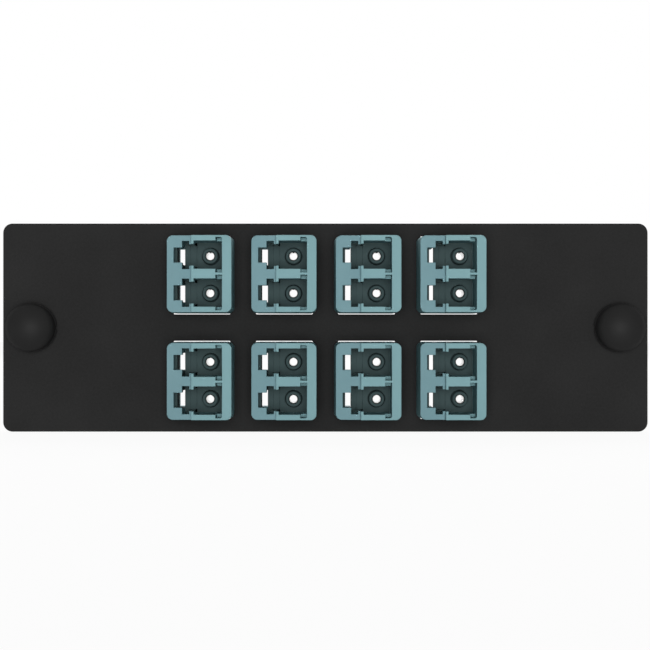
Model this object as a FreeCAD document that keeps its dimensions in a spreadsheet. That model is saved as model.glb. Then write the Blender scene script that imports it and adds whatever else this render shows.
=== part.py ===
"""Fibre adapter panel: a black sheet-metal plate that carries eight duplex fibre adapters in two rows,
held in its frame by a push-pull latch at each end.

Millimetres. +X is to the right seen from the front, +Z is up and the front faces -Y. The origin is the
centre of the panel on the plane where the two halves of every adapter meet.
"""
import FreeCAD, Part
import Sketcher

import math
import os

# Driving dimensions, in millimetres
SIZES = {
    # panel plate
    "panel_width": 109.6,
    "panel_height": 35.4,
    "panel_thickness": 1.5,
    "panel_corner_radius": 1.6,
    "column_pitch": 14.0,
    "row_pitch": 17.8,
    "cutout_width": 9.7,
    "cutout_end_gap": 0.18,
    "latch_inset": 5.0,
    "latch_hole_radius": 2.3,
    # adapter housings, outside
    "housing_length": 14.0,
    "housing_height": 12.94,
    "housing_mouth_height": 12.7,
    "housing_width": 11.04,
    "housing_front_left": 5.2,
    "housing_corner_chamfer": 0.57,
    "collar_thickness": 1.2,
    "cutout_clearance": 0.2,
    "latch_face_setback": 2.6,
    "latch_face_edge": 1.13,
    # adapter ports
    "port_pitch": 6.25,
    "bore_offset": 1.62,
    "plug_square": 4.66,
    "latch_space_width": 2.03,
    "latch_channel_width": 0.96,
    "latch_channel_height": 3.0,
    "latch_channel_wall": 0.2,
    "latch_mouth_width": 1.39,
    "latch_mouth_height": 2.48,
    "latch_mouth_depth": 3.5,
    "rail_width": 0.84,
    "rail_rise": 0.53,
    "rail_length": 5.6,
    "key_width": 1.05,
    "key_rise": 0.58,
    "key_depth": 1.3,
    "web_thickness": 1.0,
    # alignment sleeves and the tubes that hold them
    "sleeve_outer_radius": 0.81,
    "sleeve_inner_radius": 0.625,
    "sleeve_length": 6.8,
    "sleeve_slit": 0.3,
    "sleeve_clearance": 0.03,
    "tube_outer_radius": 1.3,
    "tube_lip": 0.95,
    "tube_mouth_radius": 0.7,
    # spring clips
    "clip_thickness": 0.25,
    "clip_length": 6.6,
    "clip_leg_end": 3.6,
    "clip_seat_clearance": 0.03,
    "clip_side_clearance": 0.1,
    "tongue_width": 3.0,
    "tongue_root": 1.0,
    "tongue_overlap": 0.5,
    "tongue_clearance": 0.05,
    # latch grommets
    "flange_radius": 4.22,
    "flange_thickness": 1.2,
    "neck_clearance": 0.05,
    "barrel_radius": 2.5,
    "barrel_length": 7.6,
    "barrel_seat_gap": 0.05,
    "barrel_inner_radius": 1.75,
    "neck_shoulder": 0.4,
    "leg_slit": 0.6,
    "leg_slit_start": 0.8,
    # latch plungers
    "head_radius": 4.1,
    "head_height": 6.1,
    "head_side_height": 4.75,
    "head_crown_radius": 2.6,
    "head_gap": 0.05,
    "shank_radius": 1.5,
    "shank_clearance": 0.05,
    "bulb_length": 2.1,
    "bulb_clearance": 0.05,
    "plunger_travel": 4.5,
}

COLUMNS = 4
ROWS = 2
LEG_COUNT = 4
TUBE_SIDES = 8
SLEEVE_SIDES = 6

doc = FreeCAD.newDocument("fibre_adapter_panel")
sheet = doc.addObject("Spreadsheet::Sheet", "sizes")
for row, (alias, size) in enumerate(SIZES.items(), start=1):
    sheet.set(f"A{row}", alias)
    sheet.set(f"B{row}", str(size))
    sheet.setAlias(f"B{row}", alias)
doc.recompute()


def value(expression):
    """The number that an expression on the sheet's sizes gives now."""
    return float(sheet.evalExpression(str(expression)))


# Sketches and features, all bound to the sheet


def new_body(name):
    """An empty body with the label that names its file."""
    body = doc.addObject("PartDesign::Body", name)
    body.Label = name
    return body


def new_sketch(body, name, plane="XZ_Plane", offset=None):
    """A sketch on one of the body's own planes, moved along the plane's normal by an expression."""
    sketch = body.newObject("Sketcher::SketchObject", f"{body.Label}_{name}")
    support = next(f for f in body.Origin.OriginFeatures if f.Role == plane)
    sketch.AttachmentSupport = [(support, "")]
    sketch.MapMode = "FlatFace"
    if offset is not None:
        sketch.setExpression("AttachmentOffset.Base.z", offset)
    return sketch


def pin_point(sketch, geometry, point, across, up):
    """Hold one point of a sketch at the place that two expressions give."""
    for kind, expression in (("DistanceX", across), ("DistanceY", up)):
        rule = Sketcher.Constraint(kind, -1, 1, geometry, point, value(expression))
        index = sketch.addConstraint(rule)
        name = f"{kind}_{index}"
        sketch.renameConstraint(index, name)
        sketch.setExpression(f"Constraints.{name}", expression)


def add_outline(sketch, corners):
    """A closed outline of straight lines through corners given as pairs of expressions."""
    points = [FreeCAD.Vector(value(across), value(up), 0) for across, up in corners]
    count = len(points)
    first = sketch.GeometryCount
    for i in range(count):
        sketch.addGeometry(Part.LineSegment(points[i], points[(i + 1) % count]), False)
    for i in range(count):
        sketch.addConstraint(Sketcher.Constraint("Coincident", first + i, 2, first + (i + 1) % count, 1))
    for i, (across, up) in enumerate(corners):
        pin_point(sketch, first + i, 1, across, up)


def add_rectangle(sketch, left, right, low, high):
    """A rectangle between four expressions."""
    add_outline(sketch, [(left, low), (right, low), (right, high), (left, high)])


def add_circle(sketch, across, up, radius):
    """A circle whose centre and radius are expressions."""
    centre = FreeCAD.Vector(value(across), value(up), 0)
    circle = sketch.addGeometry(Part.Circle(centre, FreeCAD.Vector(0, 0, 1), value(radius)), False)
    pin_point(sketch, circle, 3, across, up)
    index = sketch.addConstraint(Sketcher.Constraint("Radius", circle, value(radius)))
    sketch.renameConstraint(index, f"radius_{index}")
    sketch.setExpression(f"Constraints.radius_{index}", radius)


def add_many_sided(sketch, across, up, radius, sides):
    """An outline of a few flats that touch a circle: lighter than a round one where it repeats."""
    reach = 1 / math.cos(math.pi / sides)
    corners = []
    for side in range(sides):
        angle = 2 * math.pi * (side + 0.5) / sides
        right = f"{across} + {reach * math.cos(angle):.6f} * ({radius})"
        above = f"{up} + {reach * math.sin(angle):.6f} * ({radius})"
        corners.append((right, above))
    add_outline(sketch, corners)


def pad(body, sketch, length, reverse=False, both_ways=False):
    """Add material from a sketch; a sketch on the XZ plane pads towards -Y unless it is reversed."""
    feature = body.newObject("PartDesign::Pad", f"{sketch.Label}_pad")
    feature.Profile = sketch
    feature.setExpression("Length", length)
    feature.Reversed = reverse
    feature.Midplane = both_ways
    doc.recompute()
    return feature


def pocket(body, sketch, depth, reverse=False, both_ways=False):
    """Cut a sketch into the body and make sure that it removed something."""
    before = body.Shape.Volume
    feature = body.newObject("PartDesign::Pocket", f"{sketch.Label}_pocket")
    feature.Profile = sketch
    feature.setExpression("Length", depth)
    feature.Reversed = reverse
    feature.Midplane = both_ways
    doc.recompute()
    if body.Shape.Volume >= before:
        raise RuntimeError(f"{feature.Label} cuts nothing")
    return feature


def edges_where(body, wanted):
    """The names of the body's edges for which a test is true."""
    numbered = enumerate(body.Shape.Edges, start=1)
    return [f"Edge{i}" for i, edge in numbered if not edge.Degenerated and wanted(edge)]


def dress(body, kind, edges, size_name, size):
    """A fillet or a chamfer of a bound size on named edges of the body's last feature."""
    if not edges:
        raise RuntimeError(f"{body.Label}: no edge to {kind}")
    base = body.Tip
    feature = body.newObject(f"PartDesign::{kind}", f"{base.Label}_{kind.lower()}")
    feature.Base = (base, edges)
    feature.setExpression(size_name, size)
    doc.recompute()
    return feature


def runs_along(edge, axis):
    """True for a straight edge parallel to an axis given as a vector."""
    if edge.Curve.TypeId != "Part::GeomLine":
        return False
    return abs(abs(edge.tangentAt(edge.FirstParameter).dot(axis)) - 1) < 1e-6


ACROSS = FreeCAD.Vector(1, 0, 0)
INWARD = FreeCAD.Vector(0, 1, 0)

# Places that several pieces share, as expressions on the sheet
panel_front = "sizes.collar_thickness"
panel_back = "(sizes.collar_thickness + sizes.panel_thickness)"


def column_place(column):
    """The X of a column of adapters, counted from the left."""
    return f"({column} - {(COLUMNS - 1) / 2}) * sizes.column_pitch"


def row_place(row):
    """The Z of a row of adapters, counted from the top."""
    return f"({(ROWS - 1) / 2} - {row}) * sizes.row_pitch"


def latch_place(side):
    """The X of a latch: -1 is the left one and 1 the right one."""
    return f"{side} * (sizes.panel_width / 2 - sizes.latch_inset)"


def port_place(port):
    """The Z of a port in its adapter: 1 is the upper one and -1 the lower one."""
    return f"{port} * sizes.port_pitch / 2"


PORTS = {"upper": 1, "lower": -1}
LATCHES = {"left": -1, "right": 1}

# Panel plate: one laser-cut sheet with rounded corners, eight cut-outs and two latch holes


def build_panel_plate():
    body = new_body("panel_plate")
    outline = new_sketch(body, "outline", offset=f"-{panel_front}")
    half_width = "sizes.panel_width / 2"
    half_height = "sizes.panel_height / 2"
    add_rectangle(outline, f"-{half_width}", half_width, f"-{half_height}", half_height)
    pad(body, outline, "sizes.panel_thickness", reverse=True)
    corners = edges_where(body, lambda edge: runs_along(edge, INWARD))
    dress(body, "Fillet", corners, "Radius", "sizes.panel_corner_radius")

    cutouts = new_sketch(body, "cutouts", offset=f"-{panel_front}")
    cutout_half_height = "(sizes.housing_height / 2 + sizes.cutout_end_gap)"
    for column in range(COLUMNS):
        for row in range(ROWS):
            middle = column_place(column)
            level = row_place(row)
            add_rectangle(
                cutouts,
                f"{middle} - sizes.cutout_width / 2",
                f"{middle} + sizes.cutout_width / 2",
                f"{level} - {cutout_half_height}",
                f"{level} + {cutout_half_height}",
            )
    pocket(body, cutouts, "sizes.panel_thickness")

    holes = new_sketch(body, "latch_holes", offset=f"-{panel_front}")
    for side in LATCHES.values():
        add_circle(holes, latch_place(side), "0", "sizes.latch_hole_radius")
    pocket(body, holes, "sizes.panel_thickness")
    return body


# Adapter housings: two moulded halves with a port bay, latch rails and a sleeve tube for each port

plug_half = "sizes.plug_square / 2"
plug_left = f"(sizes.bore_offset - {plug_half})"
plug_right = f"(sizes.bore_offset + {plug_half})"
latch_wall = f"({plug_left} - sizes.latch_space_width)"
tube_end = "(sizes.sleeve_length / 2 + sizes.tube_lip)"
housing_half_width = "sizes.housing_width / 2"
rear_half_width = "(sizes.cutout_width / 2 - sizes.cutout_clearance)"
clip_groove = "(sizes.clip_thickness + 2 * sizes.clip_seat_clearance)"
clip_start = "(sizes.collar_thickness + sizes.clip_side_clearance)"
clip_end = f"({clip_start} + sizes.clip_length)"
front_channel_left = f"({latch_wall} - sizes.latch_channel_width)"
rear_channel_left = f"-({rear_half_width} - {clip_groove} - sizes.latch_channel_wall)"


def block_of_front_housing(body):
    """The front half's outer block: straight on the right, widening rearwards on the latch side."""
    plan = new_sketch(body, "plan", plane="XY_Plane")
    mouth = "-sizes.housing_length"
    corners = [
        (housing_half_width, mouth),
        (housing_half_width, "0"),
        (f"-{housing_half_width}", "0"),
        ("-sizes.housing_front_left", mouth),
    ]
    add_outline(plan, corners)
    pad(body, plan, "sizes.housing_height", both_ways=True)

    # the moulding's draft: top and bottom come closer together towards the mouth
    draft = new_sketch(body, "draft", plane="YZ_Plane")
    for way in (-1, 1):
        outside = f"{way} * sizes.housing_height"
        corners = [
            (mouth, f"{way} * sizes.housing_mouth_height / 2"),
            ("0", f"{way} * sizes.housing_height / 2"),
            ("0", outside),
            (mouth, outside),
        ]
        add_outline(draft, corners)
    pocket(body, draft, "sizes.housing_width * 2", both_ways=True)


def block_of_rear_housing(body):
    """The rear half's outer block, narrow enough to pass through the panel's cut-out."""
    plan = new_sketch(body, "plan", plane="XY_Plane")
    add_rectangle(plan, f"-{rear_half_width}", rear_half_width, "0", "sizes.housing_length")
    pad(body, plan, "sizes.housing_height", both_ways=True)


def add_collar(body):
    """The rear half's collar, which rests on the front of the panel and carries on the front half's outline."""
    top = "sizes.housing_height / 2"
    chamfer = "sizes.housing_corner_chamfer"
    across = f"({housing_half_width} - {chamfer})"
    rise = f"({top} - {chamfer})"
    collar = new_sketch(body, "collar")
    corners = [
        (across, f"-{top}"),
        (housing_half_width, f"-{rise}"),
        (housing_half_width, rise),
        (across, top),
        (f"-{across}", top),
        (f"-{housing_half_width}", rise),
        (f"-{housing_half_width}", f"-{rise}"),
        (f"-{across}", f"-{top}"),
    ]
    add_outline(collar, corners)
    pad(body, collar, "sizes.collar_thickness", reverse=True)


def chamfer_long_corners(body):
    """Take off the corners that run from the mouth to the middle of the adapter."""
    level = value("sizes.housing_mouth_height / 2") - 1e-6

    def is_corner(edge):
        ends = [vertex.Point for vertex in edge.Vertexes]
        on_top_or_bottom = all(abs(end.z) > level and end.z * ends[0].z > 0 for end in ends)
        return on_top_or_bottom and not runs_along(edge, ACROSS)

    dress(body, "Chamfer", edges_where(body, is_corner), "Size", "sizes.housing_corner_chamfer")


def cut_clip_groove(body):
    """The shallow groove round the top and both sides of the rear half that takes the spring clip."""
    groove = new_sketch(body, "clip_groove", offset=f"-({clip_end} + sizes.clip_side_clearance)")
    top = "sizes.housing_height / 2"
    leg_end = "(-sizes.clip_leg_end - sizes.clip_side_clearance)"
    inner = f"({rear_half_width} - {clip_groove})"
    outer = f"({rear_half_width} + 1)"
    corners = [
        (f"-{outer}", leg_end),
        (f"-{inner}", leg_end),
        (f"-{inner}", f"({top} - {clip_groove})"),
        (inner, f"({top} - {clip_groove})"),
        (inner, leg_end),
        (outer, leg_end),
        (outer, f"({top} + 1)"),
        (f"-{outer}", f"({top} + 1)"),
    ]
    add_outline(groove, corners)
    depth = f"{clip_end} + sizes.clip_side_clearance - sizes.collar_thickness"
    pocket(body, groove, depth, reverse=True)


def cut_ports(body, rear):
    """The two port bays with their rails, latch slots and sleeve tubes."""
    side = "-1" if rear else "1"
    mouth = f"{side} * sizes.housing_length"
    latch_face = f"{side} * (sizes.housing_length - sizes.latch_face_setback)"

    bays = new_sketch(body, "port_bays", offset=mouth)
    for port in PORTS.values():
        level = port_place(port)
        add_rectangle(bays, latch_wall, plug_right, f"{level} - {plug_half}", f"{level} + {plug_half}")
    pocket(body, bays, "sizes.housing_length - sizes.web_thickness", reverse=rear)

    # the rails guide the plug on its latch side, and the latch hooks behind them
    rails = new_sketch(body, "latch_rails", offset=mouth)
    for port in PORTS.values():
        level = port_place(port)
        for way in (-1, 1):
            wall = f"{level} + {way} * ({plug_half} + sizes.rail_rise / 2)"
            crest = f"{level} + {way} * ({plug_half} - sizes.rail_rise)"
            add_rectangle(rails, f"{plug_left} - sizes.rail_width", plug_left, wall, crest)
    pad(body, rails, "sizes.rail_length", reverse=not rear)

    setback = new_sketch(body, "latch_face_step", plane="XY_Plane")
    add_rectangle(
        setback,
        "-sizes.housing_width",
        "-sizes.latch_face_edge",
        f"-({mouth}) * 2",
        f"-({latch_face})",
    )
    pocket(body, setback, "sizes.housing_height * 2", both_ways=True)

    channels = new_sketch(body, "latch_channels")
    for port in PORTS.values():
        low = f"{port_place(port)} - sizes.latch_channel_height / 2"
        high = f"{port_place(port)} + sizes.latch_channel_height / 2"
        add_rectangle(channels, rear_channel_left if rear else front_channel_left, latch_wall, low, high)
    mouth_share = "0" if rear else "sizes.latch_mouth_depth"
    channel_depth = f"sizes.housing_length - sizes.latch_face_setback - {mouth_share}"
    pocket(body, channels, channel_depth, reverse=not rear)

    tubes = new_sketch(body, "sleeve_tubes")
    seats = new_sketch(body, "sleeve_seats")
    throats = new_sketch(body, "tube_throats")
    seat_radius = "sizes.sleeve_outer_radius + sizes.sleeve_clearance"
    for port in PORTS.values():
        level = port_place(port)
        add_many_sided(tubes, "sizes.bore_offset", level, "sizes.tube_outer_radius", TUBE_SIDES)
        add_many_sided(seats, "sizes.bore_offset", level, seat_radius, SLEEVE_SIDES)
        add_many_sided(throats, "sizes.bore_offset", level, "sizes.tube_mouth_radius", SLEEVE_SIDES)
    pad(body, tubes, tube_end, reverse=rear)
    pocket(body, seats, "sizes.sleeve_length / 2 + sizes.sleeve_clearance", reverse=not rear)
    pocket(body, throats, tube_end, reverse=not rear)


def cut_latch_mouths(body):
    """The wide, low mouths of the front half's latch channels, for the levers of the plugs' latches."""
    mouths = new_sketch(body, "latch_mouths", offset="sizes.housing_length - sizes.latch_face_setback")
    for port in PORTS.values():
        low = f"{port_place(port)} - sizes.latch_mouth_height / 2"
        high = f"{port_place(port)} + sizes.latch_mouth_height / 2"
        add_rectangle(mouths, f"{latch_wall} - sizes.latch_mouth_width", latch_wall, low, high)
    pocket(body, mouths, "sizes.latch_mouth_depth")


def cut_key_recesses(body):
    """The small recesses at the right end of each front port, which a plug's keys enter."""
    keys = new_sketch(body, "key_recesses", offset="sizes.housing_length")
    for port in PORTS.values():
        for way in (-1, 1):
            wall = f"{port_place(port)} + {way} * {plug_half}"
            edge = f"{wall} + {way} * sizes.key_rise"
            add_rectangle(keys, f"{plug_right} - sizes.key_width", plug_right, wall, edge)
    pocket(body, keys, "sizes.key_depth")


def build_front_housing():
    body = new_body("front_housing_form")
    block_of_front_housing(body)
    chamfer_long_corners(body)
    cut_ports(body, rear=False)
    cut_latch_mouths(body)
    cut_key_recesses(body)
    return body


def build_rear_housing():
    body = new_body("rear_housing_form")
    block_of_rear_housing(body)
    add_collar(body)
    cut_clip_groove(body)
    cut_ports(body, rear=True)
    return body


# Alignment sleeve: a ceramic tube with one slit along its whole length


def build_sleeve():
    body = new_body("sleeve_form")
    ring = new_sketch(body, "ring")
    add_many_sided(ring, "0", "0", "sizes.sleeve_outer_radius", SLEEVE_SIDES)
    add_circle(ring, "0", "0", "sizes.sleeve_inner_radius")
    pad(body, ring, "sizes.sleeve_length", both_ways=True)
    slit = new_sketch(body, "slit")
    half_slit = "sizes.sleeve_slit / 2"
    add_rectangle(slit, "0", "sizes.sleeve_outer_radius * 2", f"-{half_slit}", half_slit)
    pocket(body, slit, "sizes.sleeve_length * 2", both_ways=True)
    return body


# Spring clip: a folded strip over the top of the rear half with a sprung tongue on each leg


def build_spring_clip():
    body = new_body("spring_clip_form")
    inner = f"({rear_half_width} - {clip_groove} + sizes.clip_seat_clearance)"
    outer = f"({inner} + sizes.clip_thickness)"
    under = f"(sizes.housing_height / 2 - {clip_groove} + sizes.clip_seat_clearance)"
    over = f"({under} + sizes.clip_thickness)"
    leg_end = "-sizes.clip_leg_end"

    strip = new_sketch(body, "strip", offset=f"-{clip_start}")
    corners = [
        (f"-{outer}", leg_end),
        (f"-{inner}", leg_end),
        (f"-{inner}", under),
        (inner, under),
        (inner, leg_end),
        (outer, leg_end),
        (outer, over),
        (f"-{outer}", over),
    ]
    add_outline(strip, corners)
    pad(body, strip, "sizes.clip_length", reverse=True)

    # each tongue is lanced out of its leg and springs out behind the panel
    tip = f"({panel_back} + sizes.tongue_clearance)"
    root = f"({clip_end} - sizes.tongue_root)"
    windows = new_sketch(body, "windows", plane="XY_Plane")
    add_rectangle(windows, f"-{outer} - 1", f"{outer} + 1", f"({tip} - sizes.clip_thickness)", root)
    pocket(body, windows, "sizes.tongue_width + 2 * sizes.clip_thickness", both_ways=True)

    reach = "(sizes.cutout_width / 2 + sizes.tongue_overlap)"
    tongues = new_sketch(body, "tongues", plane="XY_Plane")
    for way in (-1, 1):
        corners = [
            (f"{way} * {inner}", f"{root} + sizes.clip_thickness"),
            (f"{way} * {outer}", f"{root} + sizes.clip_thickness"),
            (f"{way} * {reach}", tip),
            (f"{way} * ({reach} - sizes.clip_thickness)", tip),
            (f"{way} * {inner}", root),
        ]
        add_outline(tongues, corners)
    pad(body, tongues, "sizes.tongue_width", both_ways=True)
    return body


# Latch grommet: a turned-looking nylon moulding, flange in front of the panel and four legs behind it

barrel_start = f"({panel_back} + sizes.barrel_seat_gap)"
barrel_end = f"({panel_back} + sizes.barrel_length)"
flange_front = f"({panel_front} - sizes.flange_thickness)"
shank_bore = "(sizes.shank_radius + sizes.shank_clearance)"
bore_shoulder = f"({panel_back} + sizes.neck_shoulder)"


def build_grommet():
    body = new_body("latch_grommet_form")
    neck = "(sizes.latch_hole_radius - sizes.neck_clearance)"
    profile = new_sketch(body, "profile", plane="XY_Plane")
    corners = [
        (shank_bore, flange_front),
        ("sizes.flange_radius", flange_front),
        ("sizes.flange_radius", panel_front),
        (neck, panel_front),
        (neck, barrel_start),
        ("sizes.barrel_radius", barrel_start),
        ("sizes.barrel_radius", barrel_end),
        ("sizes.barrel_inner_radius", barrel_end),
        ("sizes.barrel_inner_radius", bore_shoulder),
        (shank_bore, bore_shoulder),
    ]
    add_outline(profile, corners)
    turn(body, profile)
    slits = new_sketch(body, "leg_slits", offset=f"-({bore_shoulder} + sizes.leg_slit_start)")
    half_slit = "sizes.leg_slit / 2"
    add_rectangle(slits, "0", "sizes.barrel_radius * 2", f"-{half_slit}", half_slit)
    slit = pocket(body, slits, "sizes.barrel_length", reverse=True)
    ring = body.newObject("PartDesign::PolarPattern", "leg_slit_ring")
    ring.Originals = [slit]
    ring.Axis = (slits, ["N_Axis"])
    ring.Angle = 360
    ring.Occurrences = LEG_COUNT
    body.Tip = ring
    doc.recompute()
    return body


def turn(body, profile):
    """Revolve a profile about the Y axis, which a sketch on the XY plane has as its vertical axis."""
    feature = body.newObject("PartDesign::Revolution", f"{profile.Label}_turned")
    feature.Profile = profile
    feature.ReferenceAxis = (profile, ["V_Axis"])
    feature.Angle = 360
    doc.recompute()
    return feature


# Latch plunger: a domed head on a shank whose bulb spreads the grommet's legs


def build_plunger():
    body = new_body("latch_plunger_form")
    head_base = f"({flange_front} - sizes.head_gap)"
    head_top = f"({head_base} - sizes.head_height)"
    bulb = "(sizes.barrel_inner_radius - sizes.bulb_clearance)"
    bulb_start = f"({bore_shoulder} + sizes.head_gap + sizes.plunger_travel)"
    bulb_end = f"({bulb_start} + sizes.bulb_length)"

    profile = new_sketch(body, "profile", plane="XY_Plane")
    corners = [
        ("sizes.head_radius", head_base),
        ("sizes.shank_radius", head_base),
        ("sizes.shank_radius", bulb_start),
        (bulb, bulb_start),
        (bulb, bulb_end),
        ("0", bulb_end),
        ("0", head_top),
        ("sizes.head_crown_radius", head_top),
        ("sizes.head_radius", f"{head_base} - sizes.head_side_height"),
    ]
    add_outline(profile, corners)
    turn(body, profile)
    return body


# The assembly: every piece is its own body, a copy of its form at its own place


def place_copy(form, name, across="0", up="0"):
    """A body that repeats a form at a place given by two expressions."""
    body = new_body(name)
    copy = doc.addObject("PartDesign::FeatureBase", f"{name}_copy")
    copy.BaseFeature = form
    body.Group = [copy]
    body.Tip = copy
    body.setExpression("Placement.Base.x", across)
    body.setExpression("Placement.Base.z", up)
    return body


pieces = [build_panel_plate()]
front_housing = build_front_housing()
rear_housing = build_rear_housing()
sleeve = build_sleeve()
spring_clip = build_spring_clip()
grommet = build_grommet()
plunger = build_plunger()

for row in range(ROWS):
    for column in range(COLUMNS):
        adapter = f"adapter_{row * COLUMNS + column + 1}"
        across = column_place(column)
        level = row_place(row)
        pieces.append(place_copy(front_housing, f"{adapter}_front_housing", across, level))
        pieces.append(place_copy(rear_housing, f"{adapter}_rear_housing", across, level))
        pieces.append(place_copy(spring_clip, f"{adapter}_spring_clip", across, level))
        for port_name, port in PORTS.items():
            bore_across = f"{across} + sizes.bore_offset"
            bore_level = f"{level} + {port_place(port)}"
            pieces.append(place_copy(sleeve, f"{adapter}_{port_name}_sleeve", bore_across, bore_level))

for latch_name, side in LATCHES.items():
    across = latch_place(side)
    pieces.append(place_copy(grommet, f"{latch_name}_latch_grommet", across))
    pieces.append(place_copy(plunger, f"{latch_name}_latch_plunger", across))

doc.recompute()
for item in doc.Objects:
    if {"Invalid", "Error"} & set(item.State):
        raise RuntimeError(f"{item.Label} failed: {item.State}")
for piece in pieces:
    if piece.Shape.isNull() or not piece.Shape.isValid() or len(piece.Shape.Solids) != 1:
        raise RuntimeError(f"{piece.Label} has no single valid solid")

os.makedirs("parts", exist_ok=True)
for piece in pieces:
    piece.Shape.exportStep(f"parts/{piece.Label}.step")
print(f"{len(pieces)} pieces written")
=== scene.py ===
import math

import bmesh
import bpy
from mathutils import Matrix, Vector


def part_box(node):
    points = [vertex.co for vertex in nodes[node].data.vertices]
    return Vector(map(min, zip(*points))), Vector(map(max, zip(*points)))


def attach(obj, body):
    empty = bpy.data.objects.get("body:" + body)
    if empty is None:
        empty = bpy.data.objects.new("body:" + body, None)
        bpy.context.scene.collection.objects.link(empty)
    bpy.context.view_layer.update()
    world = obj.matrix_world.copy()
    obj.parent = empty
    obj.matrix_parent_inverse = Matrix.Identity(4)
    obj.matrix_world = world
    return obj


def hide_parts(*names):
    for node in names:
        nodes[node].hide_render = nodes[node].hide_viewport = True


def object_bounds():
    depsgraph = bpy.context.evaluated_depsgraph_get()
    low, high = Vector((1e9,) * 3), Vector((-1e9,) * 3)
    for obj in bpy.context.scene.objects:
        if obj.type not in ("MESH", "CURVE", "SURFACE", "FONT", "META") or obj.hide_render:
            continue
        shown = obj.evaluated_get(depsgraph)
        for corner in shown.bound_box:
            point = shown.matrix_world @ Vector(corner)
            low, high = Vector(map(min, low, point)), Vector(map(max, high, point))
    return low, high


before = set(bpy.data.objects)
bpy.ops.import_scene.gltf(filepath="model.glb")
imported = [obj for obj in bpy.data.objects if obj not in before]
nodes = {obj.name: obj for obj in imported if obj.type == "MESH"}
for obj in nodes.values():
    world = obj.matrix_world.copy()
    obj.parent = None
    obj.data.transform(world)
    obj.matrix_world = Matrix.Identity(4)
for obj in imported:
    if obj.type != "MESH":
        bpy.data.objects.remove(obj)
cad_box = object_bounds()
scene = bpy.context.scene

# Panel plate
# A punched steel sheet with a fine black powder coat. Its eight openings carry the adapters, and a
# round hole near each end carries a push-pull latch.
MM = 0.001
PANEL_EDGE = 0.15 * MM
PANEL_DARK = (0.0185, 0.0185, 0.0185, 1)
PANEL_LIGHT = (0.0215, 0.0215, 0.0215, 1)
PANEL_GRAIN = 2600.0
PANEL_GRAIN_HEIGHT = 0.012 * MM
PANEL_PATCHES = 90.0
PANEL_ROUGHNESS = (0.68, 0.78)
PANEL_SHEEN = 0.1
NOISE_LOW = 0.3
NOISE_HIGH = 0.7
SAME_POINT = 0.001 * MM
FLAT = math.radians(1)
SHARP = math.radians(30)
EDGE_SEGMENTS = 2


def new_finish(name):
    """A material, its node tree, its shader and a coordinate that stays with the piece."""
    finish = bpy.data.materials.new(name)
    finish.use_nodes = True
    tree = finish.node_tree
    shader = tree.nodes["Principled BSDF"]
    place = tree.nodes.new("ShaderNodeTexCoord").outputs["Object"]
    return finish, tree, shader, place


def speckle(tree, place, scale):
    """Soft noise at a number of grains to the metre."""
    noise = tree.nodes.new("ShaderNodeTexNoise")
    noise.inputs["Scale"].default_value = scale
    tree.links.new(place, noise.inputs["Vector"])
    return noise.outputs["Fac"]


def between(tree, factor, low, high):
    """A number that goes from one value to another with a factor, such as a noise."""
    span = tree.nodes.new("ShaderNodeMapRange")
    span.inputs["From Min"].default_value = NOISE_LOW
    span.inputs["From Max"].default_value = NOISE_HIGH
    span.inputs["To Min"].default_value = low
    span.inputs["To Max"].default_value = high
    tree.links.new(factor, span.inputs["Value"])
    return span.outputs["Result"]


def shades(tree, factor, first, second):
    """A colour that wanders between two shades with a noise."""
    ramp = tree.nodes.new("ShaderNodeValToRGB")
    ramp.color_ramp.elements[0].position = NOISE_LOW
    ramp.color_ramp.elements[0].color = first
    ramp.color_ramp.elements[1].position = NOISE_HIGH
    ramp.color_ramp.elements[1].color = second
    tree.links.new(factor, ramp.inputs["Fac"])
    return ramp.outputs["Color"]


def roughen(tree, shader, factor, height):
    """Raise the surface by a height in metres where a noise is high."""
    bump = tree.nodes.new("ShaderNodeBump")
    bump.inputs["Distance"].default_value = height
    bump.inputs["Strength"].default_value = 1.0
    tree.links.new(factor, bump.inputs["Height"])
    tree.links.new(bump.outputs["Normal"], shader.inputs["Normal"])


def merged_copy(node):
    """A node's mesh as one closed skin with its flat triangles joined to larger faces."""
    skin = bmesh.new()
    skin.from_mesh(nodes[node].data)
    bmesh.ops.remove_doubles(skin, verts=skin.verts, dist=SAME_POINT)
    bmesh.ops.dissolve_limit(skin, angle_limit=FLAT, verts=skin.verts, edges=skin.edges)
    return skin


def as_object(name, skin):
    """A new object from a finished skin, which is used up."""
    mesh = bpy.data.meshes.new(name)
    skin.to_mesh(mesh)
    skin.free()
    piece = bpy.data.objects.new(name, mesh)
    scene.collection.objects.link(piece)
    return piece


def ease_edges(piece, width):
    """A live bevel on every sharp edge, with the flat faces kept flat to the eye."""
    piece.data.shade_smooth()
    bevel = piece.modifiers.new("eased_edges", "BEVEL")
    bevel.width = width
    bevel.segments = EDGE_SEGMENTS
    bevel.limit_method = "ANGLE"
    bevel.angle_limit = SHARP
    bevel.use_clamp_overlap = False
    bevel.face_strength_mode = "FSTR_AFFECTED"
    flat = piece.modifiers.new("flat_faces", "WEIGHTED_NORMAL")
    flat.use_face_influence = True


def bake(piece):
    """Turn what a piece's modifiers give into its plain mesh."""
    evaluated = piece.evaluated_get(bpy.context.evaluated_depsgraph_get())
    mesh = bpy.data.meshes.new_from_object(evaluated)
    piece.modifiers.clear()
    piece.data = mesh
    mesh.name = piece.name


def fit_on(piece, body, slot, finish, *replaced):
    """Give a piece its finish, if it has none yet, and its body, and hide the nodes that it stands for. The
    slot is not used.
    """
    if not piece.data.materials:
        piece.data.materials.append(finish)
    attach(piece, body)
    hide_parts(*replaced)


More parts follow.
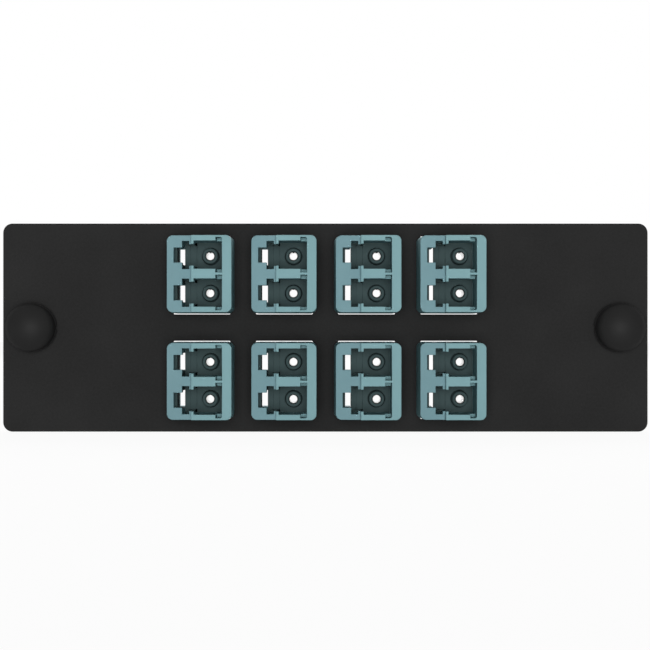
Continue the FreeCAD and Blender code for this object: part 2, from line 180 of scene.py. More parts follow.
powder_coat, tree, shader, place = new_finish("powder_coat")
coat_grain = speckle(tree, place, PANEL_GRAIN)
tree.links.new(shades(tree, coat_grain, PANEL_DARK, PANEL_LIGHT), shader.inputs["Base Color"])
coat_patches = speckle(tree, place, PANEL_PATCHES)
tree.links.new(between(tree, coat_patches, *PANEL_ROUGHNESS), shader.inputs["Roughness"])
shader.inputs["Specular IOR Level"].default_value = PANEL_SHEEN
roughen(tree, shader, coat_grain, PANEL_GRAIN_HEIGHT)

panel = as_object("coated_panel", merged_copy("panel_plate"))
ease_edges(panel, PANEL_EDGE)
bake(panel)
fit_on(panel, "panel", "panel_black", powder_coat, "panel_plate")

# Adapter front housings
# Two-port mouldings in aqua polymer, one in each opening of the panel. Each port has latch rails at
# its left and a latch channel. The core, a web with a round tube for the alignment sleeve, and the
# channel behind its mouth are painted dark grey as painted shade for the deep ports, and the set-back
# latch face is painted a shade darker as painted shade beside its step.
COLUMNS = 4
ROWS = 2
COLUMN_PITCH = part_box("adapter_2_front_housing")[0].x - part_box("adapter_1_front_housing")[0].x
ROW_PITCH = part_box("adapter_1_front_housing")[0].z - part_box("adapter_5_front_housing")[0].z
FIRST_PLACE = Vector((-COLUMN_PITCH * (COLUMNS - 1) / 2, 0, ROW_PITCH * (ROWS - 1) / 2))
PORT_SIDES = (1, -1)
PORT_RISE = 3.125 * MM
BORE_OFFSET = 1.62 * MM
WEB_THICKNESS = 1.0 * MM
TUBE_RADIUS = 1.3 * MM
TUBE_END = 4.35 * MM
TUBE_ROOT = 1.46 * MM
DRILL_RADIUS = 1.4 * MM
DRILL_LENGTH = 4 * WEB_THICKNESS
TUBE_EDGE = 0.1 * MM
TUBE_EDGE_SHARE = 1 / 3
TUBE_NOSE = 0.2 * MM
TUBE_NOSE_SHARE = 0.3
LEAD_IN_RADIUS = 0.84 * MM
LEAD_IN_DEPTH = 0.8 * MM
THROAT_RADIUS = 0.68 * MM
SLEEVE_END = 3.43 * MM
SEAT_RADIUS = 0.86 * MM
TUBE_SEGMENTS = 40
HOUSING_EDGE = 0.07 * MM
LONG_CORNER_ROUND = 0.3 * MM
LONG_CORNER_REACH = 0.8 * MM
LONG_CORNER_LEAST = 1 * MM
FRONT_CORNER_INSIDE = 3.5 * MM
ROUND_SEGMENTS = 3
ROUND_PROFILE = 0.5
HOOK_LEFT = -1.8 * MM
HOOK_RIGHT = -0.74 * MM
HOOK_LOW = 1.8 * MM
HOOK_HIGH = 2.3 * MM
HOOK_DEPTH = 0.8 * MM
GROOVE_DEPTH = 0.2 * MM
GROOVE_INSET = 0.02 * MM
KEY_FLOOR = -12.7 * MM
KEY_EXTRA_DEPTH = 4.2 * MM
MOUTH_FLOOR = -7.9 * MM
CHANNEL_LEFT = -4.2 * MM
CHANNEL_RIGHT = -2.7 * MM
CHANNEL_TOP = 4.7 * MM
PLANE_SLACK = 0.01 * MM
CUT_CLEAR = 0.5 * MM
AQUA_DEEP = (0.233, 0.411, 0.439, 1)
AQUA_PALE = (0.249, 0.437, 0.465, 1)
# painted shade: a dark grey that stands for the shade deep in the ports
PAINTED_SHADE_DEEP = (0.05, 0.08, 0.082, 1)
PAINTED_SHADE_PALE = (0.057, 0.09, 0.092, 1)
CORE_HALF_WIDTH = 4.7 * MM
CORE_SLACK = 0.06 * MM
LATCH_FACE = -11.4 * MM
# painted shade: the set-back latch face a shade darker, for the shade beside its step
LATCH_FACE_SHADE_DEEP = (0.196, 0.342, 0.379, 1)
LATCH_FACE_SHADE_PALE = (0.213, 0.367, 0.404, 1)
RESIN_CLOUDS = 160.0
RESIN_PATCHES = 700.0
RESIN_ROUGHNESS = (0.68, 0.78)
RESIN_SHEEN = 0.12
RESIN_GRAIN = 4200.0
RESIN_GRAIN_HEIGHT = 0.004 * MM
LATCH_FACE_GRAIN_HEIGHT = 0.008 * MM


def lathe(skin, profile, centre, segments):
    """Turn a closed profile of (radius, depth) points about the Y axis through a centre."""
    rings = []
    for radius, depth in profile:
        ring = []
        for step in range(segments):
            turn = 2 * math.pi * step / segments
            spoke = Vector((math.cos(turn), 0, math.sin(turn)))
            ring.append(skin.verts.new(Vector((centre.x, depth, centre.z)) + radius * spoke))
        rings.append(ring)
    faces = []
    for ring, following in zip(rings, rings[1:] + rings[:1]):
        for step in range(segments):
            after = (step + 1) % segments
            faces.append(skin.faces.new((ring[step], ring[after], following[after], following[step])))
    bmesh.ops.recalc_face_normals(skin, faces=faces)


def port_axis(side):
    """A port's bore axis in an adapter at the origin."""
    return Vector((BORE_OFFSET, 0, side * PORT_RISE))


def off_axis(point, axis):
    """How far a point lies from an axis along Y, such as a port's bore axis."""
    return math.hypot(point.x - axis.x, point.z - axis.z)


def clear_tubes(skin):
    """Take the many-sided sleeve tubes off the web and close it."""
    for axis in map(port_axis, PORT_SIDES):
        old = [f for f in skin.faces if all(off_axis(v.co, axis) < TUBE_ROOT for v in f.verts)]
        bmesh.ops.delete(skin, geom=old, context="FACES")
    rims = [edge for edge in skin.edges if edge.is_boundary]
    bmesh.ops.holes_fill(skin, edges=rims, sides=0)
    bmesh.ops.recalc_face_normals(skin, faces=skin.faces)


def add_tubes(skin, way):
    """Put round sleeve tubes on the web; way is -1 in front and 1 behind."""
    profile = [
        (TUBE_ROOT, 0),
        (TUBE_ROOT, WEB_THICKNESS),
        (TUBE_RADIUS + TUBE_EDGE * TUBE_EDGE_SHARE, WEB_THICKNESS + TUBE_EDGE * TUBE_EDGE_SHARE),
        (TUBE_RADIUS, WEB_THICKNESS + TUBE_EDGE),
        (TUBE_RADIUS, TUBE_END - TUBE_NOSE),
        (TUBE_RADIUS - TUBE_NOSE * TUBE_NOSE_SHARE, TUBE_END - TUBE_NOSE * TUBE_NOSE_SHARE),
        (TUBE_RADIUS - TUBE_NOSE, TUBE_END),
        (LEAD_IN_RADIUS, TUBE_END),
        (THROAT_RADIUS, TUBE_END - LEAD_IN_DEPTH),
        (THROAT_RADIUS, SLEEVE_END),
        (SEAT_RADIUS, SLEEVE_END),
        (SEAT_RADIUS, 0),
    ]
    for axis in map(port_axis, PORT_SIDES):
        lathe(skin, [(radius, way * depth) for radius, depth in profile], axis, TUBE_SEGMENTS)


def round_long_corners(skin, inside):
    """Round the four chamfered corners that run along the adapter, farther out than a given place."""
    top = max(v.co.z for v in skin.verts)

    def is_long_corner(edge):
        ends = [v.co for v in edge.verts]
        outside = all(abs(end.z) > top - LONG_CORNER_REACH and abs(end.x) > inside for end in ends)
        along = abs(ends[0].y - ends[1].y) > LONG_CORNER_LEAST
        return outside and along and len(edge.link_faces) == 2 and edge.calc_face_angle() > SHARP

    edges = [edge for edge in skin.edges if is_long_corner(edge)]
    bmesh.ops.bevel(
        skin,
        geom=edges,
        offset=LONG_CORNER_ROUND,
        segments=ROUND_SEGMENTS,
        profile=ROUND_PROFILE,
        affect="EDGES",
        clamp_overlap=True,
    )


def add_box(skin, left, right, near, far, low, high):
    """A closed box between six planes."""
    places = [Vector((x, y, z)) for x in (left, right) for y in (near, far) for z in (low, high)]
    corners = [skin.verts.new(place) for place in places]
    bmesh.ops.convex_hull(skin, input=corners)


def carve(piece, cutter_skin):
    """Cut the closed shapes of a skin out of a piece."""
    cutter = as_object("cutter", cutter_skin)
    cut = piece.modifiers.new("carve", "BOOLEAN")
    cut.operation = "DIFFERENCE"
    cut.solver = "EXACT"
    cut.object = cutter
    bake(piece)
    bpy.data.objects.remove(cutter)


def bore_web(piece):
    """Round passages through the web where the tubes stand."""
    drills = bmesh.new()
    upright = Matrix.Rotation(math.radians(90), 4, "X")
    for axis in map(port_axis, PORT_SIDES):
        bmesh.ops.create_cone(
            drills,
            cap_ends=True,
            segments=TUBE_SEGMENTS,
            radius1=DRILL_RADIUS,
            radius2=DRILL_RADIUS,
            depth=DRILL_LENGTH,
            matrix=Matrix.Translation(axis) @ upright,
        )
    carve(piece, drills)


def carve_hook_pockets(piece):
    """Core-out pockets in the web behind the rails, and the shallow groove between each pair."""
    near = -WEB_THICKNESS - CUT_CLEAR
    deep = -WEB_THICKNESS + HOOK_DEPTH
    shallow = -WEB_THICKNESS + GROOVE_DEPTH
    pockets = bmesh.new()
    grooves = bmesh.new()
    for level in (side * PORT_RISE for side in PORT_SIDES):
        for low, high in ((HOOK_LOW, HOOK_HIGH), (-HOOK_HIGH, -HOOK_LOW)):
            add_box(pockets, HOOK_LEFT, HOOK_RIGHT, near, deep, level + low, level + high)
        left = HOOK_LEFT + GROOVE_INSET
        right = HOOK_RIGHT - GROOVE_INSET
        add_box(grooves, left, right, near, shallow, level - HOOK_LOW, level + HOOK_LOW)
    carve(piece, pockets)
    carve(piece, grooves)


def deepen_key_recesses(skin):
    """Move the floors of the small key recesses beside each port further in."""
    for vertex in skin.verts:
        if abs(vertex.co.y - KEY_FLOOR) < PLANE_SLACK:
            vertex.co.y += KEY_EXTRA_DEPTH


def stand_tubes(piece, way):
    """Bore the web and add the round sleeve tubes to a piece's mesh; way is -1 in front and 1 behind."""
    bore_web(piece)
    skin = bmesh.new()
    skin.from_mesh(piece.data)
    add_tubes(skin, way)
    skin.to_mesh(piece.data)
    skin.free()


def mark_faces(piece, name, is_marked):
    """Mark the faces that pass a test under a name, for a finish of their own."""
    mark = piece.data.attributes.new(name, "BOOLEAN", "FACE")
    for face in piece.data.polygons:
        mark.data[face.index].value = is_marked(face)


def in_painted_shade(face):
    """True for the faces of the web, of its tubes and of the front latch channels behind their mouths, which
    get the dark grey painted shade.
    """
    depth = abs(face.center.y) - CORE_SLACK
    in_web = depth < WEB_THICKNESS and abs(face.center.x) < CORE_HALF_WIDTH
    across = min(off_axis(face.center, port_axis(side)) for side in PORT_SIDES)
    behind_mouth = MOUTH_FLOOR - CORE_SLACK < face.center.y < 0 and abs(face.center.z) < CHANNEL_TOP
    in_channel = behind_mouth and CHANNEL_LEFT < face.center.x < CHANNEL_RIGHT
    return in_web or in_channel or (depth < TUBE_END and across < TUBE_ROOT)


def on_shaded_latch_face(face):
    """True for the part of the front that is set back at the latch side, which is painted a shade darker."""
    return abs(face.center.y - LATCH_FACE) < CORE_SLACK


def add_math(tree, operation, first, second):
    """One sum in a node tree; each term is a socket or a plain number."""
    node = tree.nodes.new("ShaderNodeMath")
    node.operation = operation
    for socket, term in zip(node.inputs, (first, second)):
        if isinstance(term, (int, float)):
            socket.default_value = term
        else:
            tree.links.new(term, socket)
    return node.outputs["Value"]


# the faces under these marks get painted shade: dark grey deep in the ports, a shade darker on the set-back
# latch face
PAINTED_SHADE_FINISHES = {"core": "Painted Shade Finish", "latch_face": "Latch Face Shade"}


def build_adapter_grid():
    """A geometry tree that repeats its piece at every place of an upright grid and dresses it."""
    tree = bpy.data.node_groups.new("adapter_grid", "GeometryNodeTree")
    tree.interface.new_socket("Geometry", in_out="INPUT", socket_type="NodeSocketGeometry")
    for name in ("Columns", "Rows"):
        tree.interface.new_socket(name, in_out="INPUT", socket_type="NodeSocketInt")
    for name in ("Column Pitch", "Row Pitch"):
        tree.interface.new_socket(name, in_out="INPUT", socket_type="NodeSocketFloat")
    for name in ("Finish", *PAINTED_SHADE_FINISHES.values()):
        tree.interface.new_socket(name, in_out="INPUT", socket_type="NodeSocketMaterial")
    tree.interface.new_socket("Geometry", in_out="OUTPUT", socket_type="NodeSocketGeometry")
    given = tree.nodes.new("NodeGroupInput").outputs
    result = tree.nodes.new("NodeGroupOutput").inputs

    grid = tree.nodes.new("GeometryNodeMeshGrid")
    for count, pitch, size, vertices in (
        ("Columns", "Column Pitch", "Size X", "Vertices X"),
        ("Rows", "Row Pitch", "Size Y", "Vertices Y"),
    ):
        gaps = add_math(tree, "SUBTRACT", given[count], 1)
        tree.links.new(add_math(tree, "MULTIPLY", gaps, given[pitch]), grid.inputs[size])
        tree.links.new(given[count], grid.inputs[vertices])
    upright = tree.nodes.new("GeometryNodeTransform")
    upright.inputs["Rotation"].default_value = (math.radians(90), 0, 0)
    tree.links.new(grid.outputs["Mesh"], upright.inputs["Geometry"])
    copies = tree.nodes.new("GeometryNodeInstanceOnPoints")
    tree.links.new(upright.outputs["Geometry"], copies.inputs["Points"])
    tree.links.new(given["Geometry"], copies.inputs["Instance"])
    real = tree.nodes.new("GeometryNodeRealizeInstances")
    tree.links.new(copies.outputs["Instances"], real.inputs["Geometry"])
    dressed = tree.nodes.new("GeometryNodeSetMaterial")
    tree.links.new(real.outputs["Geometry"], dressed.inputs["Geometry"])
    tree.links.new(given["Finish"], dressed.inputs["Material"])
    for mark, finish in PAINTED_SHADE_FINISHES.items():
        marked = tree.nodes.new("GeometryNodeInputNamedAttribute")
        marked.data_type = "BOOLEAN"
        marked.inputs["Name"].default_value = mark
        plain = dressed.outputs["Geometry"]
        dressed = tree.nodes.new("GeometryNodeSetMaterial")
        tree.links.new(plain, dressed.inputs["Geometry"])
        tree.links.new(marked.outputs["Attribute"], dressed.inputs["Selection"])
        tree.links.new(given[finish], dressed.inputs["Material"])
    tree.links.new(dressed.outputs["Geometry"], result["Geometry"])
    return tree


adapter_grid = build_adapter_grid()


def repeat_on_grid(piece, finish, **marked):
    """Repeat a piece made for an adapter at the origin at all the places of the panel."""
    rows = piece.modifiers.new("adapter_rows", "NODES")
    rows.node_group = adapter_grid
    settings = {
        "Columns": COLUMNS,
        "Rows": ROWS,
        "Column Pitch": COLUMN_PITCH,
        "Row Pitch": ROW_PITCH,
        "Finish": finish,
        **{socket: marked.get(mark, finish) for mark, socket in PAINTED_SHADE_FINISHES.items()},
    }
    for socket in adapter_grid.interface.items_tree:
        if socket.in_out == "INPUT" and socket.name in settings:
            rows[socket.identifier] = settings[socket.name]


def adapter_nodes(ending):
    """The nodes of one kind in all eight adapters."""
    return [f"adapter_{number}_{ending}" for number in range(1, COLUMNS * ROWS + 1)]


def moulded_resin(name, deep, pale, grain_height):
    """Moulded resin with a faint cloud of colour and the fine grain of its mould."""
    finish, tree, shader, place = new_finish(name)
    clouds = speckle(tree, place, RESIN_CLOUDS)
    patches = speckle(tree, place, RESIN_PATCHES)
    tree.links.new(shades(tree, clouds, deep, pale), shader.inputs["Base Color"])
    tree.links.new(between(tree, patches, *RESIN_ROUGHNESS), shader.inputs["Roughness"])
    shader.inputs["Specular IOR Level"].default_value = RESIN_SHEEN
    roughen(tree, shader, speckle(tree, place, RESIN_GRAIN), grain_height)
    return finish


aqua_moulding = moulded_resin("aqua_moulding", AQUA_DEEP, AQUA_PALE, RESIN_GRAIN_HEIGHT)
# painted shade on the set-back latch face, with a coarser grain
latch_face_painted_shade = moulded_resin(
    "latch_face_painted_shade", LATCH_FACE_SHADE_DEEP, LATCH_FACE_SHADE_PALE, LATCH_FACE_GRAIN_HEIGHT
)
# painted shade: the web, its tubes and the latch channels get this dark grey for the shade deep in the ports
painted_shade_core = moulded_resin("painted_shade_core", PAINTED_SHADE_DEEP, PAINTED_SHADE_PALE, RESIN_GRAIN_HEIGHT)

skin = merged_copy("adapter_1_front_housing")
bmesh.ops.translate(skin, verts=skin.verts, vec=-FIRST_PLACE)
round_long_corners(skin, FRONT_CORNER_INSIDE)
deepen_key_recesses(skin)
clear_tubes(skin)
bmesh.ops.triangulate(skin, faces=skin.faces)
front_housings = as_object("front_housings", skin)
carve_hook_pockets(front_housings)
stand_tubes(front_housings, -1)
# mark the faces that get the painted shade
mark_faces(front_housings, "core", in_painted_shade)
mark_faces(front_housings, "latch_face", on_shaded_latch_face)
repeat_on_grid(front_housings, aqua_moulding, core=painted_shade_core, latch_face=latch_face_painted_shade)
ease_edges(front_housings, HOUSING_EDGE)
bake(front_housings)
fit_on(front_housings, "panel", "adapter_aqua", aqua_moulding, *adapter_nodes("front_housing"))

# Adapter rear housings
# The other moulded half of each adapter, welded to the front one. It passes through the opening and
# has the same two ports, and a shallow groove round it takes the spring clip.
COLLAR_CORNER_INSIDE = 4.8 * MM
skin = merged_copy("adapter_1_rear_housing")
bmesh.ops.translate(skin, verts=skin.verts, vec=-FIRST_PLACE)
round_long_corners(skin, COLLAR_CORNER_INSIDE)
clear_tubes(skin)
bmesh.ops.triangulate(skin, faces=skin.faces)
rear_housings = as_object("rear_housings", skin)
stand_tubes(rear_housings, 1)
# the rear web and tubes get the dark grey painted shade too
mark_faces(rear_housings, "core", in_painted_shade)
repeat_on_grid(rear_housings, aqua_moulding, core=painted_shade_core)
ease_edges(rear_housings, HOUSING_EDGE)
bake(rear_housings)
fit_on(rear_housings, "panel", "adapter_aqua", aqua_moulding, *adapter_nodes("rear_housing"))

# Alignment sleeves
# Split zirconia tubes inside the housings' tubes, polished, one for each port. They line up the
# ferrules of the plugs on both sides and float in their seats.
ZIRCONIA_WARM = (0.78, 0.76, 0.71, 1)
ZIRCONIA_WHITE = (0.84, 0.83, 0.8, 1)
ZIRCONIA_CLOUDS = 500.0
ZIRCONIA_PATCHES = 2500.0
ZIRCONIA_ROUGHNESS = (0.05, 0.1)
ZIRCONIA_REFRACTION = 2.1
SLEEVE_OUTER = 0.81 * MM
SLEEVE_INNER = 0.625 * MM
SLEEVE_HALF = 3.4 * MM
SLIT_HALF = 0.15 * MM
SLEEVE_STEPS = 40
SLEEVE_EDGE = 0.03 * MM


def split_tube(skin, axis):
    """A tube about a port's axis with one slit along its top."""
    outline = []
    for radius, turned in ((SLEEVE_OUTER, False), (SLEEVE_INNER, True)):
        gap = math.asin(SLIT_HALF / radius)
        turns = [gap + (2 * math.pi - 2 * gap) * step / SLEEVE_STEPS for step in range(SLEEVE_STEPS + 1)]
        points = [(axis.x - radius * math.sin(turn), axis.z + radius * math.cos(turn)) for turn in turns]
        outline += reversed(points) if turned else points
    front = [skin.verts.new((x, -SLEEVE_HALF, z)) for x, z in outline]
    back = [skin.verts.new((x, SLEEVE_HALF, z)) for x, z in outline]
    count = len(outline)
    faces = []
    for step in range(count):
        after = (step + 1) % count
        faces.append(skin.faces.new((front[step], front[after], back[after], back[step])))
    for step in range(SLEEVE_STEPS):
        across = (step, step + 1, count - 2 - step, count - 1 - step)
        faces.append(skin.faces.new([front[corner] for corner in across]))
        faces.append(skin.faces.new([back[corner] for corner in across]))
    bmesh.ops.recalc_face_normals(skin, faces=faces)


zirconia, tree, shader, place = new_finish("zirconia")
ceramic_clouds = speckle(tree, place, ZIRCONIA_CLOUDS)
ceramic_patches = speckle(tree, place, ZIRCONIA_PATCHES)
tree.links.new(shades(tree, ceramic_clouds, ZIRCONIA_WARM, ZIRCONIA_WHITE), shader.inputs["Base Color"])
tree.links.new(between(tree, ceramic_patches, *ZIRCONIA_ROUGHNESS), shader.inputs["Roughness"])
shader.inputs["IOR"].default_value = ZIRCONIA_REFRACTION

skin = bmesh.new()
for side in PORT_SIDES:
    split_tube(skin, port_axis(side))
sleeves = as_object("sleeves", skin)
repeat_on_grid(sleeves, zirconia)
ease_edges(sleeves, SLEEVE_EDGE)
bake(sleeves)
sleeve_nodes = adapter_nodes("upper_sleeve") + adapter_nodes("lower_sleeve")
fit_on(sleeves, "panel", "sleeve_ceramic", zirconia, *sleeve_nodes)

# Spring clips
# Stainless strips folded over the top of each rear half. A tongue lanced out of each leg springs out
# behind the panel and holds the adapter in its opening.
CLIP_EDGE = 0.05 * MM
STEEL_DARK = (0.42, 0.42, 0.43, 1)
STEEL_LIGHT = (0.6, 0.6, 0.6, 1)
STEEL_STREAKS = 5000.0
STEEL_ROLLING = (1, 0.04, 1)
STEEL_ROUGHNESS = (0.28, 0.42)
spring_steel, tree, shader, place = new_finish("spring_steel")
rolling = tree.nodes.new("ShaderNodeMapping")
rolling.inputs["Scale"].default_value = STEEL_ROLLING
tree.links.new(place, rolling.inputs["Vector"])
streaks = speckle(tree, rolling.outputs["Vector"], STEEL_STREAKS)
tree.links.new(shades(tree, streaks, STEEL_DARK, STEEL_LIGHT), shader.inputs["Base Color"])
tree.links.new(between(tree, streaks, *STEEL_ROUGHNESS), shader.inputs["Roughness"])
shader.inputs["Metallic"].default_value = 1.0

skin = merged_copy("adapter_1_spring_clip")
bmesh.ops.translate(skin, verts=skin.verts, vec=-FIRST_PLACE)
spring_clips = as_object("spring_clips", skin)
repeat_on_grid(spring_clips, spring_steel)
ease_edges(spring_clips, CLIP_EDGE)
bake(spring_clips)
fit_on(spring_clips, "panel", "clip_steel", spring_steel, *adapter_nodes("spring_clip"))

# Latch grommets
# Black nylon mouldings pushed through the panel's end holes: a flange in front and a slit barrel
# behind, whose four legs spread when the plunger is pushed in.
GROMMET_EDGE = 0.1 * MM
NOSE_TAPER = 0.4 * MM
BARREL_RADIUS = 2.5 * MM
RIM_SLACK = 0.05 * MM
NYLON_DARK = (0.016, 0.016, 0.016, 1)
NYLON_LIGHT = (0.018, 0.018, 0.018, 1)
NYLON_CLOUDS = 300.0
NYLON_GRAIN = 3800.0
NYLON_GRAIN_HEIGHT = 0.005 * MM
NYLON_SHEEN = 0.08
FLANK_ROUGHNESS = 0.9
CROWN_ROUGHNESS = 0.52
LATCH_SIDES = ("left", "right")
black_nylon, tree, shader, place = new_finish("black_nylon")
nylon_clouds = speckle(tree, place, NYLON_CLOUDS)
tree.links.new(shades(tree, nylon_clouds, NYLON_DARK, NYLON_LIGHT), shader.inputs["Base Color"])
# the faces that look along the latch are smoother than its flanks
facing = tree.nodes.new("ShaderNodeSeparateXYZ")
tree.links.new(place.node.outputs["Normal"], facing.inputs["Vector"])
frontness = add_math(tree, "ABSOLUTE", facing.outputs["Y"], 0)
tree.links.new(between(tree, frontness, FLANK_ROUGHNESS, CROWN_ROUGHNESS), shader.inputs["Roughness"])
shader.inputs["Specular IOR Level"].default_value = NYLON_SHEEN
roughen(tree, shader, speckle(tree, place, NYLON_GRAIN), NYLON_GRAIN_HEIGHT)


def taper_noses(skin, middle, end):
    """Taper the outer end of each leg, which goes into the frame's hole first."""

    def on_rim(vertex):
        at_end = abs(vertex.co.y - end) < PLANE_SLACK
        return at_end and off_axis(vertex.co, middle) > BARREL_RADIUS - RIM_SLACK

    rims = [edge for edge in skin.edges if all(on_rim(vertex) for vertex in edge.verts)]
    bmesh.ops.bevel(
        skin,
        geom=rims,
        offset=NOSE_TAPER,
        segments=ROUND_SEGMENTS,
        profile=ROUND_PROFILE,
        affect="EDGES",
        clamp_overlap=False,
    )


for side in LATCH_SIDES:
    low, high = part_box(f"{side}_latch_grommet")
    skin = merged_copy(f"{side}_latch_grommet")
    taper_noses(skin, (low + high) / 2, high.y)
    grommet = as_object(f"{side}_grommet", skin)
    ease_edges(grommet, GROMMET_EDGE)
    bake(grommet)
    fit_on(grommet, "panel", "latch_black", black_nylon, f"{side}_latch_grommet")

# Latch plungers
# Push-pull knobs of black nylon: a head with a low dome and rounded edge on a shank, and a bulb at
# the shank's end that spreads the grommet's legs.
HEAD_BASE = -0.05 * MM
HEAD_RIM_RADIUS = 4.08 * MM
HEAD_EDGE_ROUND = 1.5 * MM
HEAD_FOOT_ROUND = 0.25 * MM
DOME_RADIUS = 6.5 * MM
SHANK_RADIUS = 1.5 * MM
BULB_START = 7.65 * MM
BULB_RADIUS = 1.7 * MM
BULB_EASE = 0.3 * MM
ARC_STEPS = 8
HEAD_SEGMENTS = 96
ON_AXIS = 0.0001 * MM


def arc(centre, radius, first, last, steps):
    """Points (radius, depth) along an arc between two angles in degrees, 0 towards the rim, 90 rearwards."""
    turns = [math.radians(first + (last - first) * step / steps) for step in range(steps + 1)]
    return [(centre[0] + radius * math.cos(turn), centre[1] + radius * math.sin(turn)) for turn in turns]


def dome_profile(front, end, head_radius):
    """The plunger's outline from the crown of its dome to the end of its bulb."""
    dome_centre = front + DOME_RADIUS
    edge_across = HEAD_RIM_RADIUS - HEAD_EDGE_ROUND
    edge_depth = dome_centre - math.sqrt((DOME_RADIUS - HEAD_EDGE_ROUND) ** 2 - edge_across**2)
    meet = math.degrees(math.atan2(edge_depth - dome_centre, edge_across))
    foot = (head_radius - HEAD_FOOT_ROUND, HEAD_BASE - HEAD_FOOT_ROUND)
    return [
        *arc((0, dome_centre), DOME_RADIUS, -90, meet, ARC_STEPS),
        *arc((edge_across, edge_depth), HEAD_EDGE_ROUND, meet, 0, ARC_STEPS)[1:],
        *arc(foot, HEAD_FOOT_ROUND, 0, 90, ARC_STEPS),
        (SHANK_RADIUS, HEAD_BASE),
        (SHANK_RADIUS, BULB_START),
        (BULB_RADIUS, BULB_START),
        (BULB_RADIUS, end - BULB_EASE),
        (BULB_RADIUS - BULB_EASE, end),
        (0, end),
    ]


def turned_solid(name, profile, centre):
    """A closed turned piece whose profile starts and ends on its axis."""
    skin = bmesh.new()
    rings = []
    for radius, depth in profile:
        middle = Vector((centre.x, depth, centre.z))
        count = HEAD_SEGMENTS if radius > ON_AXIS else 1
        turns = [2 * math.pi * step / HEAD_SEGMENTS for step in range(count)]
        spokes = [Vector((math.cos(turn), 0, math.sin(turn))) for turn in turns]
        rings.append([skin.verts.new(middle + radius * spoke) for spoke in spokes])
    for ring, following in zip(rings, rings[1:]):
        for step in range(HEAD_SEGMENTS):
            after = (step + 1) % HEAD_SEGMENTS
            corners = [ring[step % len(ring)], ring[after % len(ring)]]
            corners += [following[after % len(following)], following[step % len(following)]]
            skin.faces.new(list(dict.fromkeys(corners)))
    bmesh.ops.recalc_face_normals(skin, faces=skin.faces)
    piece = as_object(name, skin)
    piece.data.shade_smooth()
    piece.data.set_sharp_from_angle(angle=SHARP)
    return piece


for side in LATCH_SIDES:
    low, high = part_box(f"{side}_latch_plunger")
    outline = dome_profile(low.y, high.y, (high.x - low.x) / 2)
    plunger = turned_solid(f"{side}_knob", outline, (low + high) / 2)
    fit_on(plunger, f"{side}_plunger", "latch_black", black_nylon, f"{side}_latch_plunger")

# Floor and backdrop
# A pale studio floor under the panel's lower edge and plain white behind it. They only set the stage
# and are no part of the object.
FLOOR_HALF = 3.0
FLOOR_GAP = 0.02 * MM
FLOOR_COLOUR = (0.8, 0.8, 0.8, 1)
FLOOR_ROUGHNESS = 0.9
FLOOR_WHITE_SHARE = 0.95
WHITE = (1, 1, 1, 1)


def sees_white(tree):
    """1 where the camera, a reflection or a see-through surface looks at the surroundings, else 0."""
    rays = tree.nodes.new("ShaderNodeLightPath").outputs
    mirrored = add_math(tree, "MAXIMUM", rays["Is Glossy Ray"], rays["Is Transmission Ray"])
    return add_math(tree, "MAXIMUM", rays["Is Camera Ray"], mirrored)


floor_level = cad_box[0].z - FLOOR_GAP
skin = bmesh.new()
bmesh.ops.create_grid(skin, x_segments=1, y_segments=1, size=FLOOR_HALF)
bmesh.ops.translate(skin, verts=skin.verts, vec=(0, 0, floor_level))
floor = as_object("studio_floor", skin)
# the front lamp reaches below the floor's level, so the floor lets its light pass
floor.visible_shadow = False

pale_floor, tree, shader = new_finish("pale_floor")[:3]
shader.inputs["Base Color"].default_value = FLOOR_COLOUR
shader.inputs["Roughness"].default_value = FLOOR_ROUGHNESS
white = tree.nodes.new("ShaderNodeEmission")
white.inputs["Color"].default_value = WHITE
seen = add_math(tree, "MULTIPLY", sees_white(tree), FLOOR_WHITE_SHARE)
mix = tree.nodes.new("ShaderNodeMixShader")
tree.links.new(seen, mix.inputs["Fac"])
tree.links.new(shader.outputs["BSDF"], mix.inputs[1])
tree.links.new(white.outputs["Emission"], mix.inputs[2])
tree.links.new(mix.outputs["Shader"], tree.nodes["Material Output"].inputs["Surface"])
floor.data.materials.append(pale_floor)

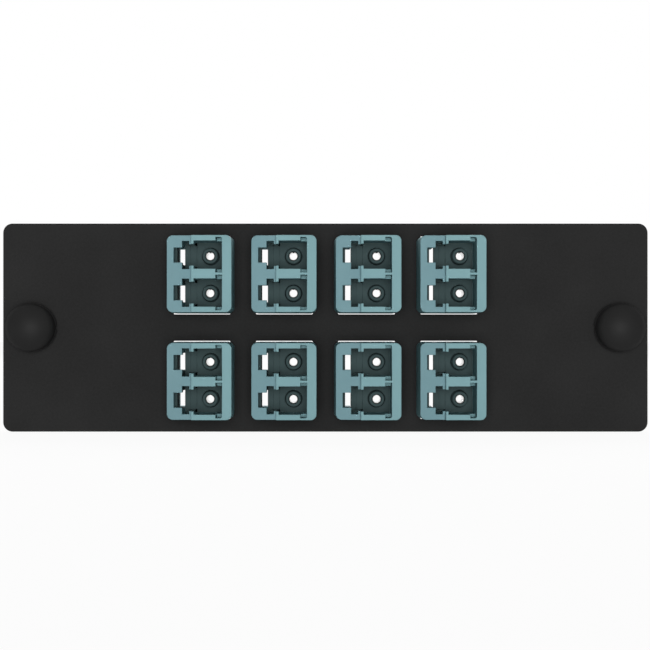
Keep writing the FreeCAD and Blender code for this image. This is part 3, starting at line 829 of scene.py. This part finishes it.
# Lights
# A small soft box straight in front, on the camera's axis, a larger one behind and above for the rear
# halves, and a weak, even room light.
ROOM_LIGHT = 0.045
FRONT_PLACE = (0, -1.0, 0)
FRONT_SIZE = 0.25
FRONT_POWER = 7.1
BACK_PLACE = (0, 1.0, 0.6)
BACK_SIZE = 0.5
BACK_POWER = 12.0
scene.world = bpy.data.worlds.new("studio_room")
scene.world.use_nodes = True
tree = scene.world.node_tree
room = tree.nodes["Background"]
room.inputs["Color"].default_value = WHITE
level = tree.nodes.new("ShaderNodeMapRange")
level.inputs["To Min"].default_value = ROOM_LIGHT
level.inputs["To Max"].default_value = 1.0
tree.links.new(sees_white(tree), level.inputs["Value"])
tree.links.new(level.outputs["Result"], room.inputs["Strength"])


def soft_box(name, place, size, power):
    """A square area lamp aimed at the middle of the panel."""
    lamp = bpy.data.lights.new(name, "AREA")
    lamp.shape = "SQUARE"
    lamp.size = size
    lamp.energy = power
    stand = bpy.data.objects.new(name, lamp)
    stand.location = place
    stand.rotation_euler = (-Vector(place)).to_track_quat("-Z", "Y").to_euler()
    scene.collection.objects.link(stand)


soft_box("front_box", FRONT_PLACE, FRONT_SIZE, FRONT_POWER)
soft_box("back_box", BACK_PLACE, BACK_SIZE, BACK_POWER)

# Camera
# Level with the middle of the panel and square to it, about half a metre away.
CAMERA_DISTANCE = 0.4788
FOCAL_PIXELS = 2823.0
IMAGE_PIXELS = 650.0
PANEL_MIDDLE_PIXEL = (325.4, 327.6)
SENSOR_WIDTH = 36.0
NEAREST_SEEN = 0.01
FARTHEST_SEEN = 50.0

view = bpy.data.cameras.new("photo_view")
view.sensor_width = SENSOR_WIDTH
view.lens = SENSOR_WIDTH * FOCAL_PIXELS / IMAGE_PIXELS
view.shift_x = (IMAGE_PIXELS / 2 - PANEL_MIDDLE_PIXEL[0]) / IMAGE_PIXELS
view.shift_y = (PANEL_MIDDLE_PIXEL[1] - IMAGE_PIXELS / 2) / IMAGE_PIXELS
view.clip_start = NEAREST_SEEN
view.clip_end = FARTHEST_SEEN
camera = bpy.data.objects.new("photo_view", view)
camera.location = (0, -CAMERA_DISTANCE, 0)
camera.rotation_euler = (math.radians(90), 0, 0)
scene.collection.objects.link(camera)
scene.camera = camera
scene.view_settings.view_transform = "Standard"
